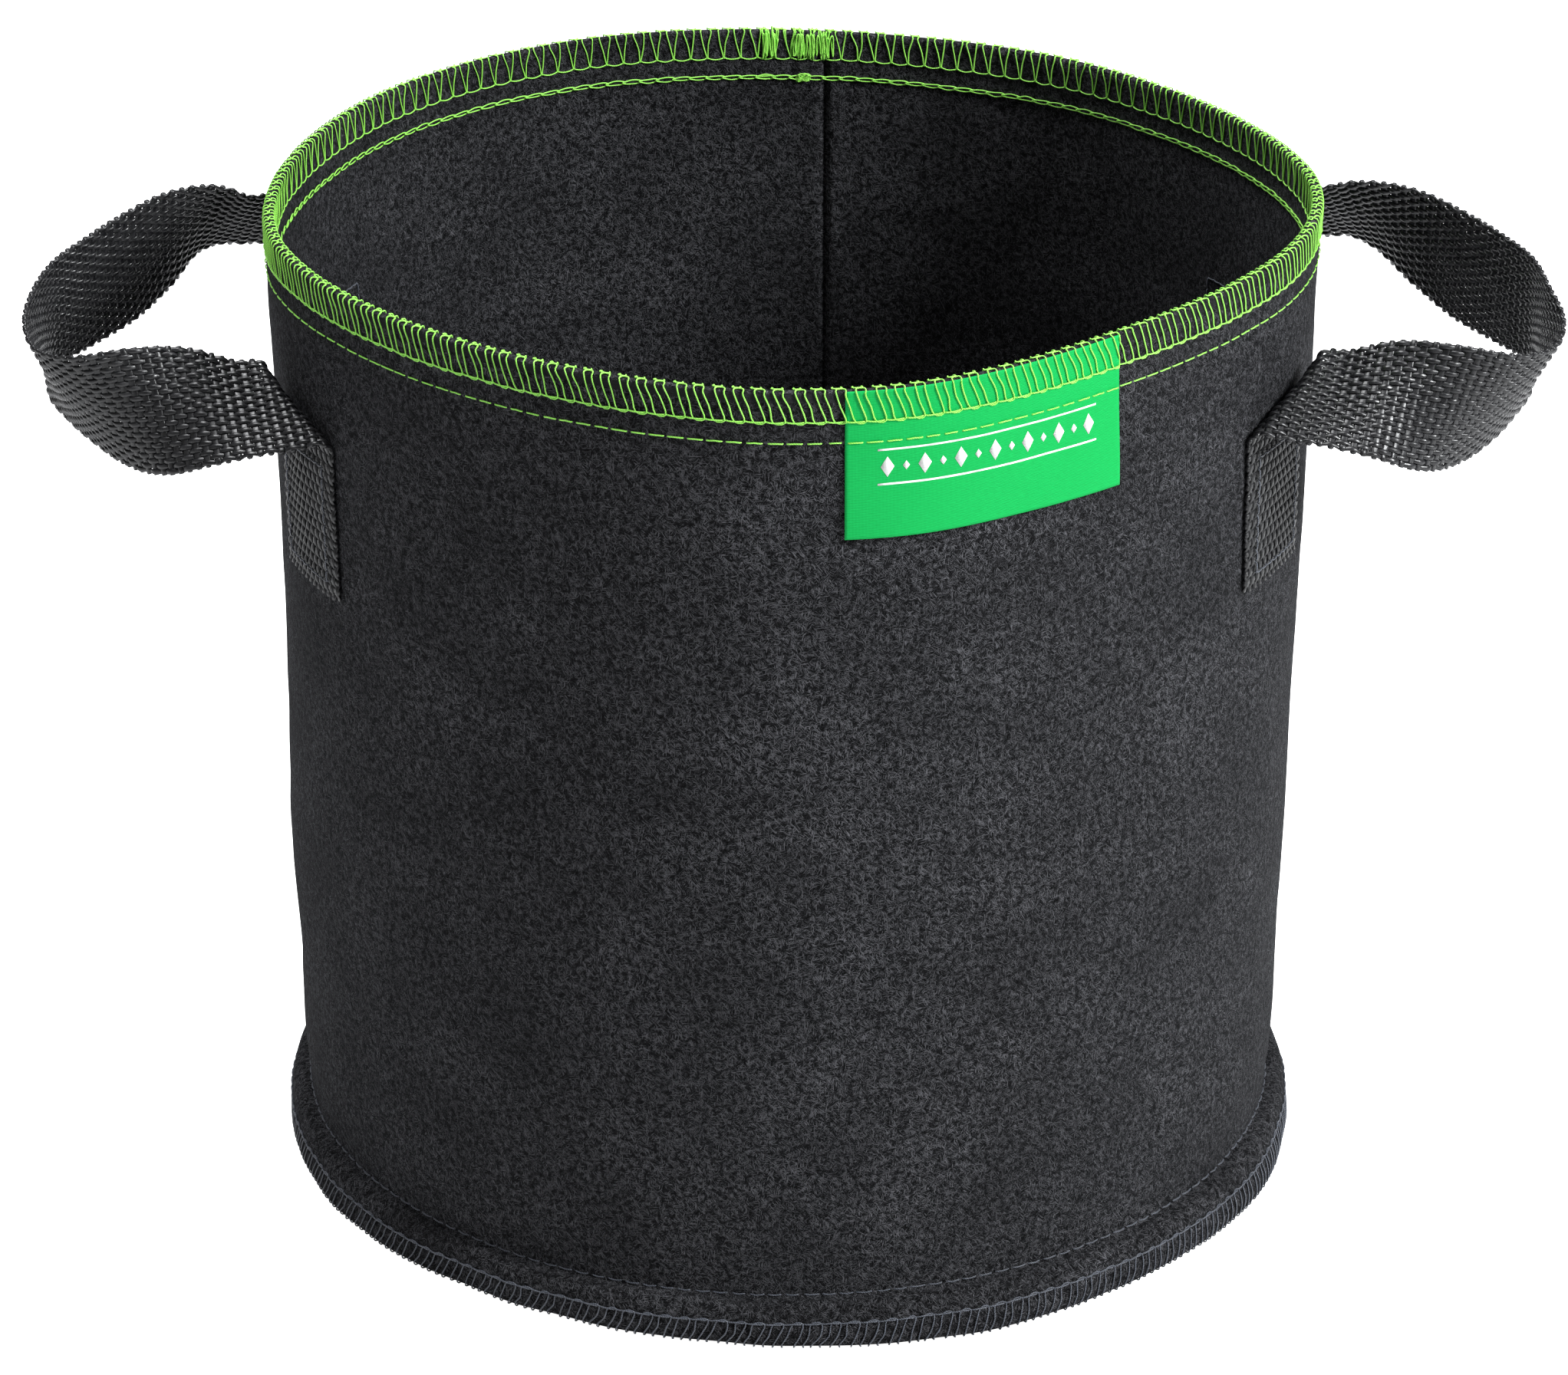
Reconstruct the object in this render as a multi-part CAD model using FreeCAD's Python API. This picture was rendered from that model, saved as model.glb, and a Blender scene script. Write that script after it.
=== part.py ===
"""Felt grow bag with two webbing handles, a woven side label and safety-stitched seams.

Millimetres, +Z up.  The origin is the centre of the base's underside, where the bag rests.
+X runs through the right handle and -Y is the side that carries the label.
"""
import FreeCAD, Part
import math
import os

Vector = FreeCAD.Vector

# ---------------------------------------------------------------- driving dimensions
RIM_DIAMETER = 250.0        # outside the felt, at the rim
HEIGHT = 244.4              # floor to the top of the rim's stitching
FELT = 2.3                  # needle-punched felt thickness
THREAD = 0.4                # sewing thread as it lies
GAP = 0.05                  # clear space left between pieces that are sewn together

SEAM_RADIUS = 121.5         # outside of the wall at the base seam's chain stitch
WEBBING_WIDTH = 30.0
WEBBING = 1.6               # webbing thickness

LABEL_WIDTH = 67.5
LABEL_HEIGHT = 36.0
LABEL_THICKNESS = 0.4
LABEL_START = -84.8         # degrees round from +X to the label's left edge

NEEDLE_INSET = 7.2          # overlock needle line, in from the cut edge
BASE_NEEDLE_INSET = 4.2     # the same on the base seam's shorter skirt
CHAIN_INSET = 12.5          # chain stitch line, in from the cut edge

PATCH_ANGLE = 24.3          # each sewn handle end, degrees from the X axis
PATCH_TOP = 203.0
PATCH_BOTTOM = 165.6

BACK_SEAM_ANGLE = 84.4      # the wall's own upright seam
BACK_ALLOWANCE = 12.5       # felt turned outward beyond the back seam

# ---------------------------------------------------------------- worked-out sizes
RIM_EDGE = HEIGHT - THREAD
RIM_RADIUS = RIM_DIAMETER / 2.0
SKIRT_EDGE = THREAD + GAP           # cut edges of the base seam stand on their stitching
SKIRT_TOP = SKIRT_EDGE + 9.1
SKIRT_RADIUS = SEAM_RADIUS + 2 * FELT + 0.1
BEND = 2.0                          # bend radius of the felt's middle
ABOVE_SEAM = SKIRT_TOP + 2.0
FOLD_MIDDLE = SKIRT_RADIUS - FELT - 0.1 - FELT / 2 - 4.7    # base felt where it rises to the seam
BACK_SEAM_FOOT = ABOVE_SEAM + 1.0


def wall_radius(z):
    """Outside radius of the felt wall at height z above the base seam."""
    share = (z - SKIRT_TOP) / (RIM_EDGE - SKIRT_TOP)
    return SEAM_RADIUS + (RIM_RADIUS - SEAM_RADIUS) * share


# ---------------------------------------------------------------- flat profiles
def unit(dx, dz):
    length = math.hypot(dx, dz)
    return dx / length, dz / length


def offset_corners(corners, distance):
    """Corners of the line that runs distance to the left of an open line of corners."""
    moved = []
    for index, (x, z) in enumerate(corners):
        before = corners[max(index - 1, 0)]
        after = corners[min(index + 1, len(corners) - 1)]
        arriving = unit(x - before[0], z - before[1]) if index else unit(after[0] - x, after[1] - z)
        leaving = unit(after[0] - x, after[1] - z) if after != (x, z) else arriving
        normal = unit(-arriving[1] - leaving[1], arriving[0] + leaving[0])
        stretch = distance / (normal[0] * -arriving[1] + normal[1] * arriving[0])
        moved.append((x + normal[0] * stretch, z + normal[1] * stretch))
    return moved


def rounded_edges(corners, radius, distance):
    """Straight runs and tangent arcs along corners, for a line offset by distance to the left."""
    edges = []
    start = corners[0]
    for before, here, after in zip(corners, corners[1:], corners[2:]):
        u = unit(here[0] - before[0], here[1] - before[1])
        v = unit(after[0] - here[0], after[1] - here[1])
        turn = math.atan2(u[0] * v[1] - u[1] * v[0], u[0] * v[0] + u[1] * v[1])
        bend = radius - math.copysign(distance, turn * distance)
        reach = bend * math.tan(abs(turn) / 2)
        first = (here[0] - u[0] * reach, here[1] - u[1] * reach)
        last = (here[0] + v[0] * reach, here[1] + v[1] * reach)
        inward = unit(v[0] - u[0], v[1] - u[1])
        depth = bend / math.cos(turn / 2) - bend
        middle = (here[0] + inward[0] * depth, here[1] + inward[1] * depth)
        edges.append(Part.LineSegment(flat(start), flat(first)).toShape())
        edges.append(Part.Arc(flat(first), flat(middle), flat(last)).toShape())
        start = last
    edges.append(Part.LineSegment(flat(start), flat(corners[-1])).toShape())
    return edges


def flat(point):
    return Vector(point[0], 0, point[1])


def band_face(corners, thickness, radius=BEND):
    """A strip of the given thickness, centred on a line of corners in the XZ plane."""
    left = offset_corners(corners, thickness / 2)
    right = offset_corners(corners, -thickness / 2)
    edges = rounded_edges(left, radius, thickness / 2)
    edges.append(Part.LineSegment(flat(left[-1]), flat(right[-1])).toShape())
    edges += rounded_edges(right, radius, -thickness / 2)
    edges.append(Part.LineSegment(flat(right[0]), flat(left[0])).toShape())
    return Part.Face(Part.Wire(Part.__sortEdges__(edges)))


def polygon_face(points):
    return Part.Face(Part.makePolygon([flat(point) for point in points + points[:1]]))


def turned(face, start=0.0, sweep=360.0):
    """The solid a profile makes turning about the bag's axis."""
    solid = face.revolve(Vector(0, 0, 0), Vector(0, 0, 1), sweep)
    solid.rotate(Vector(0, 0, 0), Vector(0, 0, 1), start)
    return solid


def cone_shell_face(low, high, inner, outer):
    """Profile of a layer that follows the wall, from inner to outer beyond its outside."""
    return polygon_face([
        (wall_radius(low) + inner, low),
        (wall_radius(low) + outer, low),
        (wall_radius(high) + outer, high),
        (wall_radius(high) + inner, high),
    ])


# ---------------------------------------------------------------- felt
def wall_panel():
    """The wall with its lower edge turned out and down, and the back seam's two raw edges."""
    middle = [
        (RIM_RADIUS - FELT / 2, RIM_EDGE),
        (SEAM_RADIUS - FELT / 2, SKIRT_TOP),
        (SKIRT_RADIUS - FELT / 2, SKIRT_TOP - 0.4),
        (SKIRT_RADIUS - FELT / 2, SKIRT_EDGE),
    ]
    wall = turned(band_face(middle, FELT))
    sweep = math.degrees(BACK_ALLOWANCE / RIM_RADIUS)
    allowance = turned(cone_shell_face(BACK_SEAM_FOOT, RIM_EDGE, -FELT / 2, 2 * FELT), BACK_SEAM_ANGLE, sweep)
    return wall.fuse(allowance).removeSplitter()


def base_panel():
    """The round base, raised to the seam at its edge and turned down inside the wall's edge."""
    skirt_middle = SKIRT_RADIUS - FELT - 0.1 - FELT / 2
    fold = SKIRT_TOP - FELT - 0.1
    middle = [
        (1.0, FELT / 2),
        (FOLD_MIDDLE, FELT / 2),
        (FOLD_MIDDLE, fold),
        (skirt_middle, fold),
        (skirt_middle, SKIRT_EDGE),
    ]
    ring = turned(band_face(middle, FELT))
    return ring.fuse(Part.makeCylinder(1.0, FELT)).removeSplitter()


def label():
    """The woven label, caught at its top by the rim's stitching."""
    layer = cone_shell_face(RIM_EDGE - LABEL_HEIGHT, RIM_EDGE, GAP, GAP + LABEL_THICKNESS)
    return turned(layer, LABEL_START, math.degrees(LABEL_WIDTH / RIM_RADIUS))


# ---------------------------------------------------------------- seam threads
def thread_ring(surface, z, side):
    """A thread lying on a round surface at height z: side is 1 for outside and -1 for inside."""
    inner = surface + side * GAP
    outer = surface + side * (GAP + THREAD)
    return turned(polygon_face([
        (inner, z - THREAD / 2),
        (outer, z - THREAD / 2),
        (outer, z + THREAD / 2),
        (inner, z + THREAD / 2),
    ]))


def ring_on_wall(z, side):
    return thread_ring(wall_radius(z) if side > 0 else wall_radius(z) - FELT, z, side)


def ring_on_skirt(z, side):
    return thread_ring(SKIRT_RADIUS if side > 0 else SKIRT_RADIUS - 2 * FELT - 0.1, z, side)


def looper_over_edge(surface_low, surface_high, low, edge, over, side, reach):
    """The zone one looper thread covers: up one face of the felt and half way over its edge."""
    near = side * GAP
    far = side * (GAP + THREAD)
    return turned(polygon_face([
        (surface_low + near, low),
        (surface_low + far, low),
        (surface_high + far, edge + over * THREAD),
        (surface_high - side * reach, edge + over * THREAD),
        (surface_high - side * reach, edge + over * GAP),
        (surface_high + near, edge + over * GAP),
    ]))


def rim_looper(side):
    low = RIM_EDGE - NEEDLE_INSET + THREAD
    depth = 0.0 if side > 0 else FELT
    reach = FELT / 2 - GAP
    return looper_over_edge(wall_radius(low) - depth, RIM_RADIUS - depth, low, RIM_EDGE, 1, side, reach)


def base_looper(side):
    high = SKIRT_EDGE + BASE_NEEDLE_INSET - THREAD
    surface = SKIRT_RADIUS if side > 0 else SKIRT_RADIUS - 2 * FELT - 0.1
    return looper_over_edge(surface, surface, high, SKIRT_EDGE, -1, side, FELT - GAP)


def upright_thread(angle, side_offset, low, high):
    """A thread running up the wall beside the back seam, side_offset beyond its outside."""
    layer = cone_shell_face(low, high, side_offset, side_offset + THREAD)
    return turned(layer, angle, math.degrees(THREAD / RIM_RADIUS))


def back_seam_threads():
    """The black threads of the wall's upright seam, named and built by where each one lies."""
    high = RIM_EDGE - CHAIN_INSET - 2 * THREAD
    per_mm = math.degrees(1 / RIM_RADIUS)
    over = 2 * FELT + GAP
    needle_angle = BACK_SEAM_ANGLE + (BACK_ALLOWANCE - NEEDLE_INSET) * per_mm
    edge_angle = BACK_SEAM_ANGLE + BACK_ALLOWANCE * per_mm + GAP * per_mm
    upper_face = cone_shell_face(BACK_SEAM_FOOT, high, over, over + THREAD)
    upper_start = needle_angle + 2 * THREAD * per_mm
    upper = turned(upper_face, upper_start, (NEEDLE_INSET - 2 * THREAD) * per_mm)
    lower = turned(cone_shell_face(BACK_SEAM_FOOT, high, GAP, 2 * FELT), edge_angle, THREAD * per_mm)
    return {
        "back_seam_overlock_needle_thread": upright_thread(needle_angle, over, BACK_SEAM_FOOT, high),
        "back_seam_upper_looper_thread": upper,
        "back_seam_lower_looper_thread": lower,
        "back_seam_chain_needle_thread": upright_thread(
            BACK_SEAM_ANGLE + THREAD * per_mm, over, BACK_SEAM_FOOT, high),
        "back_seam_chain_looper_thread": upright_thread(
            BACK_SEAM_ANGLE - 2 * THREAD * per_mm, GAP, BACK_SEAM_FOOT, high),
    }


def rim_threads():
    """The green five-thread safety stitch along the rim."""
    needle = RIM_EDGE - NEEDLE_INSET
    chain = RIM_EDGE - CHAIN_INSET
    return {
        "rim_overlock_needle_thread": Part.makeCompound([ring_on_wall(needle, 1), ring_on_wall(needle, -1)]),
        "rim_upper_looper_thread": rim_looper(1),
        "rim_lower_looper_thread": rim_looper(-1),
        "rim_chain_needle_thread": ring_on_wall(chain, 1),
        "rim_chain_looper_thread": ring_on_wall(chain, -1),
    }


def base_threads():
    """The black five-thread safety stitch that joins the wall to the base."""
    needle = SKIRT_EDGE + BASE_NEEDLE_INSET
    needle_rings = Part.makeCompound([ring_on_skirt(needle, 1), ring_on_skirt(needle, -1)])
    return {
        "base_overlock_needle_thread": needle_rings,
        "base_upper_looper_thread": base_looper(1),
        "base_lower_looper_thread": base_looper(-1),
        "base_chain_needle_thread": ring_on_wall(ABOVE_SEAM, 1),
        "base_chain_looper_thread": thread_ring(FOLD_MIDDLE + FELT / 2 + THREAD, SKIRT_EDGE + 5.0, 1),
    }


# ---------------------------------------------------------------- handles
# Front half of the left loop: the webbing's centre, then the direction across it, from its
# lower edge to its upper edge.  The rear half mirrors it.
LOOP_HALF = [
    ((-122.5, -63.5, 216.0), (-0.28, -0.62, 0.73)),
    ((-134.0, -64.5, 217.0), (-0.42, -0.22, 0.88)),
    ((-151.0, -55.5, 212.5), (-0.40, -0.05, 0.92)),
    ((-165.0, -38.0, 208.0), (-0.40, 0.00, 0.92)),
    ((-173.5, -13.5, 205.5), (-0.38, 0.00, 0.93)),
]


def mirrored(station):
    centre, across = station
    return (centre[0], -centre[1], centre[2]), (across[0], -across[1], across[2])


def webbing_loop(side):
    """One free loop of webbing: side is -1 for the left handle and 1 for the right."""
    stations = LOOP_HALF + [mirrored(station) for station in reversed(LOOP_HALF)]
    centres = [Vector(*centre) for centre, across in stations]
    sections = []
    for index, (centre, across) in enumerate(stations):
        along = centres[min(index + 1, len(centres) - 1)] - centres[max(index - 1, 0)]
        across = Vector(*across).normalize()
        thick = along.cross(across).normalize() * (WEBBING / 2)
        across = thick.cross(along).normalize() * (WEBBING_WIDTH / 2)
        middle = centres[index]
        outer = [middle + across + thick, middle - across + thick]
        inner = [middle - across - thick, middle + across - thick]
        sections.append(Part.makePolygon(outer + inner + outer[:1]))
    loop = Part.makeLoft(sections, True, False)
    if side > 0:
        loop = loop.mirror(Vector(0, 0, 0), Vector(1, 0, 0))
    return loop


def webbing_end(angle):
    """The flat end of a handle, sewn upright on the outside of the wall."""
    layer = cone_shell_face(PATCH_BOTTOM, PATCH_TOP, GAP, GAP + WEBBING)
    sweep = math.degrees(WEBBING_WIDTH / RIM_RADIUS)
    return turned(layer, angle - sweep / 2, sweep)


def tack_thread(angle, near):
    """One thread of the lockstitch rectangle that holds a handle end: four runs, near beyond the wall."""
    inset = 4.0
    low = PATCH_BOTTOM + inset
    high = PATCH_TOP - inset
    half = math.degrees((WEBBING_WIDTH / 2 - inset) / RIM_RADIUS)
    width = math.degrees(THREAD / RIM_RADIUS)
    across = [
        turned(cone_shell_face(z, z + THREAD, near, near + THREAD), angle - half, 2 * half)
        for z in (low, high)
    ]
    upright = [
        turned(cone_shell_face(low + THREAD + GAP, high - GAP, near, near + THREAD), angle + offset, width)
        for offset in (-half, half - width)
    ]
    return Part.makeCompound(across + upright)


def handle_parts():
    parts = {}
    places = {
        "left_front": 180 + PATCH_ANGLE,
        "left_rear": 180 - PATCH_ANGLE,
        "right_front": -PATCH_ANGLE,
        "right_rear": PATCH_ANGLE,
    }
    for place, angle in places.items():
        parts[place + "_webbing_end"] = webbing_end(angle)
        parts[place + "_tack_needle_thread"] = tack_thread(angle, 2 * GAP + WEBBING)
        parts[place + "_tack_bobbin_thread"] = tack_thread(angle, -FELT - GAP - THREAD)
    parts["left_handle_loop"] = webbing_loop(-1)
    parts["right_handle_loop"] = webbing_loop(1)
    return parts


# ---------------------------------------------------------------- all pieces
def all_parts():
    parts = {"wall_panel": wall_panel(), "base_panel": base_panel(), "woven_label": label()}
    parts.update(rim_threads())
    parts.update(base_threads())
    parts.update(back_seam_threads())
    parts.update(handle_parts())
    return parts


def main():
    os.makedirs("parts", exist_ok=True)
    for name, shape in all_parts().items():
        shape.exportStep("parts/" + name + ".step")
        print(name, "valid", shape.isValid(), "volume_cm3", round(shape.Volume / 1000, 3))


main()
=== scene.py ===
"""Looks of a felt grow bag with webbing handles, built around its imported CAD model."""
import functools
import math

import bmesh
import bpy
import numpy as np
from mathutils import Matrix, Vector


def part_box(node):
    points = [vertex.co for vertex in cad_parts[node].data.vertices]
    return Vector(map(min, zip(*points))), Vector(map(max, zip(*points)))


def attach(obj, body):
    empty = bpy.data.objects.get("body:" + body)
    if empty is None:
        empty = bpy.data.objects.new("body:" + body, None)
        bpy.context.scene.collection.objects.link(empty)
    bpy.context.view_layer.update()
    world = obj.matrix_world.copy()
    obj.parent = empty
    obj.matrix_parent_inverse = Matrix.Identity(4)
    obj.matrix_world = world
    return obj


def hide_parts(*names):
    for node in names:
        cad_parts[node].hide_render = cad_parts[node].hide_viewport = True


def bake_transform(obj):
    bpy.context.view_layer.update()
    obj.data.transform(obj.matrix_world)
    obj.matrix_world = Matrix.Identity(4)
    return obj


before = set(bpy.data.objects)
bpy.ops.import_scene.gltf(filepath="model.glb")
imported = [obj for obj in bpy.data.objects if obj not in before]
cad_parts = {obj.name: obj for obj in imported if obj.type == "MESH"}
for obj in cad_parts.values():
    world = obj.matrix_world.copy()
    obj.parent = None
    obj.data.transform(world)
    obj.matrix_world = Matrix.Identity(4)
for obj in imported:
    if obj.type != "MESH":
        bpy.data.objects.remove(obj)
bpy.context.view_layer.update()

MM = 0.001
rng = np.random.default_rng(7)

# ---- sizes in millimetres, as in the CAD model
FELT = 2.3
RIM_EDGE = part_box("wall_panel")[1].z / MM
SEAM_RADIUS = 121.5
RIM_RADIUS = 125.0
SKIRT_TOP = 9.55
SKIRT_EDGE = 0.45
FELT_GAP = 0.1              # between two layers of felt
CLOTH_GAP = 0.05            # between the felt and what is sewn on it
SKIRT_RADIUS = SEAM_RADIUS + 2 * FELT + FELT_GAP
MEAN_RADIUS = 122.0         # for measuring lumps round the bag
NOISE_SHIFT = 900           # keeps places in the noise above zero
YARN_SHIFT = 0.013          # keeps the patterns of neighbouring yarns apart
GRID = 512                  # cells each way in a grid of random values
ABOVE_SEAM = 11.55
BACK_SEAM = 84.4            # degrees round from +X
WEBBING_WIDTH = 30.0
PATCH_ANGLE = 24.3
PATCH_TOP = 203.0
PATCH_BOTTOM = 165.6
LABEL_START = -85.5
LABEL_WIDTH = 70.5
LABEL_HEIGHT = 36.0
LABEL_THICKNESS = 0.4
WEBBING = 1.6
BACK_ALLOWANCE = 12.5
POCKET = 4.7                # from the base's turned-down edge in to its rise

STITCHES = 178              # round the rim and round the base
NEEDLE_LINE = 7.2           # from the cut edge
CHAIN_LINE = 12.5
BASE_NEEDLE_LINE = 5.6
PITCH = 2 * math.pi * RIM_RADIUS / STITCHES
THREAD_RADIUS = 0.18
RIM_STITCH_START = 88.5     # degrees, where the rim's stitching starts and ends
RIM_TANGLES = ((88.7, 92.0, 5), (83.4, 88.2, 11))
RIM_KNOT = 87.0

# The soft rim is pushed out of round and waves up and down: lobes, size, phase in degrees.
RIM_LOBES = ((1, 2.57, 93.0), (3, 1.51, 48.0), (4, 0.65, 14.0), (5, 1.72, -71.0))
RIM_WAVES = ((1, 0.41, -27.0), (2, 0.56, -46.0), (3, 0.73, -66.0), (4, 0.25, 15.0), (7, 0.25, 10.0))
RIM_SAG = 1.74
# Where the turned-down lower edge splays outward: direction, spread in degrees, distance in mm.
SKIRT_SPLAY = ((-70.0, 25.0, 3.4), (-28.0, 18.0, 2.8), (-150.0, 18.0, 1.6))


# ---- small helpers
def smooth(x):
    x = np.clip(x, 0, 1)
    return x * x * (3 - 2 * x)


@functools.cache
def random_grid(seed):
    return np.random.default_rng(seed).uniform(-1, 1, (GRID, GRID))


def lattice_noise(x, y, cell, seed, wrap=None):
    """Smooth random values between -1 and 1 on a plane, optionally repeating in x after wrap cells."""
    grid = random_grid(seed)
    u = np.asarray(x, float) / cell
    v = np.asarray(y, float) / cell
    i = np.floor(u).astype(int)
    j = np.floor(v).astype(int)
    a = smooth(u - i)
    b = smooth(v - j)
    columns = wrap or GRID
    i0, i1 = i % columns, (i + 1) % columns
    j0, j1 = j % GRID, (j + 1) % GRID
    low = grid[i0, j0] * (1 - a) + grid[i1, j0] * a
    high = grid[i0, j1] * (1 - a) + grid[i1, j1] * a
    return low * (1 - b) + high * b


def unit(v):
    return v / np.maximum(np.linalg.norm(v, axis=-1, keepdims=True), 1e-9)


def length_along(points):
    """The length of a line of points, up to each of them."""
    return np.concatenate([[0], np.cumsum(np.linalg.norm(np.diff(points, axis=0), axis=1))])


def sides_of(line):
    """The directions along a line in a plane, and to its left."""
    tangent = unit(np.gradient(line, axis=0))
    return tangent, np.stack([-tangent[:, 1], tangent[:, 0]], 1)


def degrees_along(arc):
    """Degrees round the bag for a length round its rim, in mm."""
    return np.degrees(arc / RIM_RADIUS)


def arc_to(degrees):
    """The length round the rim, in mm, for degrees round the bag."""
    return np.radians(degrees) * RIM_RADIUS


def degrees_from(theta, start):
    """Degrees from start to theta, between -180 and 180."""
    return (theta - start + 180) % 360 - 180


def within(theta, start, width, edge):
    """1 from start round a width in mm and 0 beside it, changing over edge degrees."""
    past = degrees_from(theta, start)
    return smooth((past + edge) / edge) * smooth((degrees_along(width) - past + edge) / edge)


def waves(theta, table):
    """The sum of cosine waves round the bag: number, size and phase in degrees of each."""
    total = np.zeros(np.shape(theta))
    for number, size, phase in table:
        total = total + size * np.cos(np.radians(number * theta - phase))
    return total


def polar(theta, r, z):
    """Points in the row frame, in mm, from degrees, radius and height."""
    a = np.radians(theta)
    return np.stack(np.broadcast_arrays(r * np.cos(a), r * np.sin(a), z), -1)


class Shell:
    """Collects blocks of points, faces and places on the flat cloth, and makes one mesh of them."""

    def __init__(self):
        self.points = []
        self.faces = []
        self.cloth = []
        self.count = 0

    def add(self, points, faces, cloth):
        """points in mm; cloth holds each face corner's place on the flat cloth, in metres."""
        self.points.append(np.asarray(points, float).reshape(-1, 3))
        self.faces += [f + self.count for f in faces]
        self.cloth += [np.asarray(c, float).reshape(-1, 3) for c in cloth]
        self.count += len(self.points[-1])

    def piece(self, name, material):
        loops = np.concatenate([f.ravel() for f in self.faces]).astype(np.int32)
        sizes = np.concatenate([np.full(len(f), f.shape[1]) for f in self.faces])
        starts = np.concatenate([[0], np.cumsum(sizes)[:-1]]).astype(np.int32)
        mesh = bpy.data.meshes.new(name)
        points = np.concatenate(self.points) * MM
        mesh.vertices.add(len(points))
        mesh.vertices.foreach_set("co", points.astype(np.float32).ravel())
        mesh.loops.add(len(loops))
        mesh.loops.foreach_set("vertex_index", loops)
        mesh.polygons.add(len(starts))
        mesh.polygons.foreach_set("loop_start", starts)
        mesh.polygons.foreach_set("use_smooth", np.ones(len(starts), bool))
        mesh.update(calc_edges=True)
        layer = mesh.attributes.new("cloth", "FLOAT_VECTOR", "CORNER")
        layer.data.foreach_set("vector", np.concatenate(self.cloth).astype(np.float32).ravel())
        mesh.materials.append(material)
        piece = bpy.data.objects.new(name, mesh)
        bpy.context.scene.collection.objects.link(piece)
        return piece


def grid_faces(rows, columns, close_rows=False, close_columns=False):
    """Quads of a rows by columns grid of points, wound so that row x column points outward."""
    i = np.arange(rows if close_rows else rows - 1)
    j = np.arange(columns if close_columns else columns - 1)
    i, j = [a.ravel() for a in np.meshgrid(i, j, indexing="ij")]
    i1 = (i + 1) % rows
    j1 = (j + 1) % columns
    return np.stack([i * columns + j, i1 * columns + j, i1 * columns + j1, i * columns + j1], 1)


class Tubes(Shell):
    """Collects round or flat yarns as closed tubes and makes one mesh of them."""

    sides = 6

    def thread(self, path, width, height=None, normals=None):
        """path in mm; width and height are half sizes, across and along the normals."""
        path = np.asarray(path, float)
        n = len(path)
        sides = self.sides
        height = width if height is None else height
        tangent = unit(np.gradient(path, axis=0))
        if normals is None:
            normals = transported(tangent)
        side = unit(np.cross(tangent, normals))
        normal = np.cross(side, tangent)
        turn = 2 * np.pi * np.arange(sides) / sides
        w = np.broadcast_to(width, (n,))[:, None, None]
        h = np.broadcast_to(height, (n,))[:, None, None]
        across = side[:, None] * np.cos(turn)[None, :, None] * w
        upright = normal[:, None] * np.sin(turn)[None, :, None] * h
        points = (path[:, None] + across + upright).reshape(-1, 3)
        quads = grid_faces(n, sides, close_columns=True)
        length = length_along(path)
        first_column = quads[:, :1] % sides
        around = (first_column + np.array([0, 0, 1, 1])) / sides
        place = [length[quads // sides] * MM, around, np.full(around.shape, self.count * YARN_SHIFT)]
        points = np.concatenate([points, path[:1], path[-1:]])
        k = np.arange(sides)
        last = (n - 1) * sides
        first_cap = np.stack([k, (k + 1) % sides, np.full(sides, n * sides)], 1)
        last_cap = np.stack([last + (k + 1) % sides, last + k, np.full(sides, n * sides + 1)], 1)
        cap_place = np.zeros((sides * 3, 3))
        self.add(points, [quads, first_cap, last_cap], [np.stack(place, -1), cap_place, cap_place])


def transported(tangent):
    """Normals carried along a path without sudden turns."""
    out = np.empty_like(tangent)
    current = np.cross(tangent[0], [0.31, 0.52, 0.79])
    for i, t in enumerate(tangent):
        current = current - t * current.dot(t)
        length = math.sqrt(current.dot(current))
        if length < 1e-6:
            current = np.cross(t, [0.3, 0.5, 0.8])
            length = math.sqrt(current.dot(current))
        current = current / length
        out[i] = current
    return out


# ---- the bag's shape
def share_up(z):
    return np.clip((z - SKIRT_TOP) / (RIM_EDGE - SKIRT_TOP), 0, 1)


def noise_round(theta, z, cells, seed):
    """Smooth random values on the wall that meet after cells steps round it."""
    around = np.radians(theta) * MEAN_RADIUS
    return lattice_noise(around + NOISE_SHIFT, z, 2 * np.pi * MEAN_RADIUS / cells, seed, wrap=cells)


def out_of_round(theta, z):
    """How far the wall stands out of its plain cone, in mm."""
    amount = waves(theta, RIM_LOBES) * share_up(z) ** 1.4
    bulge = 0.75 * np.exp(-((z - 30.0) / 15.0) ** 2) + 1.15 * np.exp(-((z - 80.0) / 34.0) ** 2)
    bulge = bulge * smooth((z - ABOVE_SEAM) / 12.0)
    broad = 0.5 * noise_round(theta, z, 20, 3) * smooth((z - 12) / 30)
    return amount + bulge + (broad + 0.16 * noise_round(theta, z, 80, 4))


def wall_radius(theta, z):
    """Outside radius of the felt wall, in mm."""
    return SEAM_RADIUS + (RIM_RADIUS - SEAM_RADIUS) * share_up(z) + out_of_round(theta, z)


def skirt_wave(theta, z):
    """How far the soft turned-down edge waves in and out."""
    wave = 0.35 * noise_round(theta, 0 * z, 60, 11)
    splay = 0 * np.radians(theta)
    for middle, spread, reach in SKIRT_SPLAY:
        splay = splay + reach * np.exp(-(degrees_from(theta, middle) / spread) ** 2)
    return wave * smooth((SKIRT_TOP - z) / 4) + splay * smooth((SKIRT_TOP - z) / 8)


def skirt_radius(theta, z):
    """Outside radius of the wall's turned-down lower edge."""
    return SKIRT_RADIUS + out_of_round(theta, SKIRT_TOP + 0 * z) + skirt_wave(theta, z)


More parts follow.
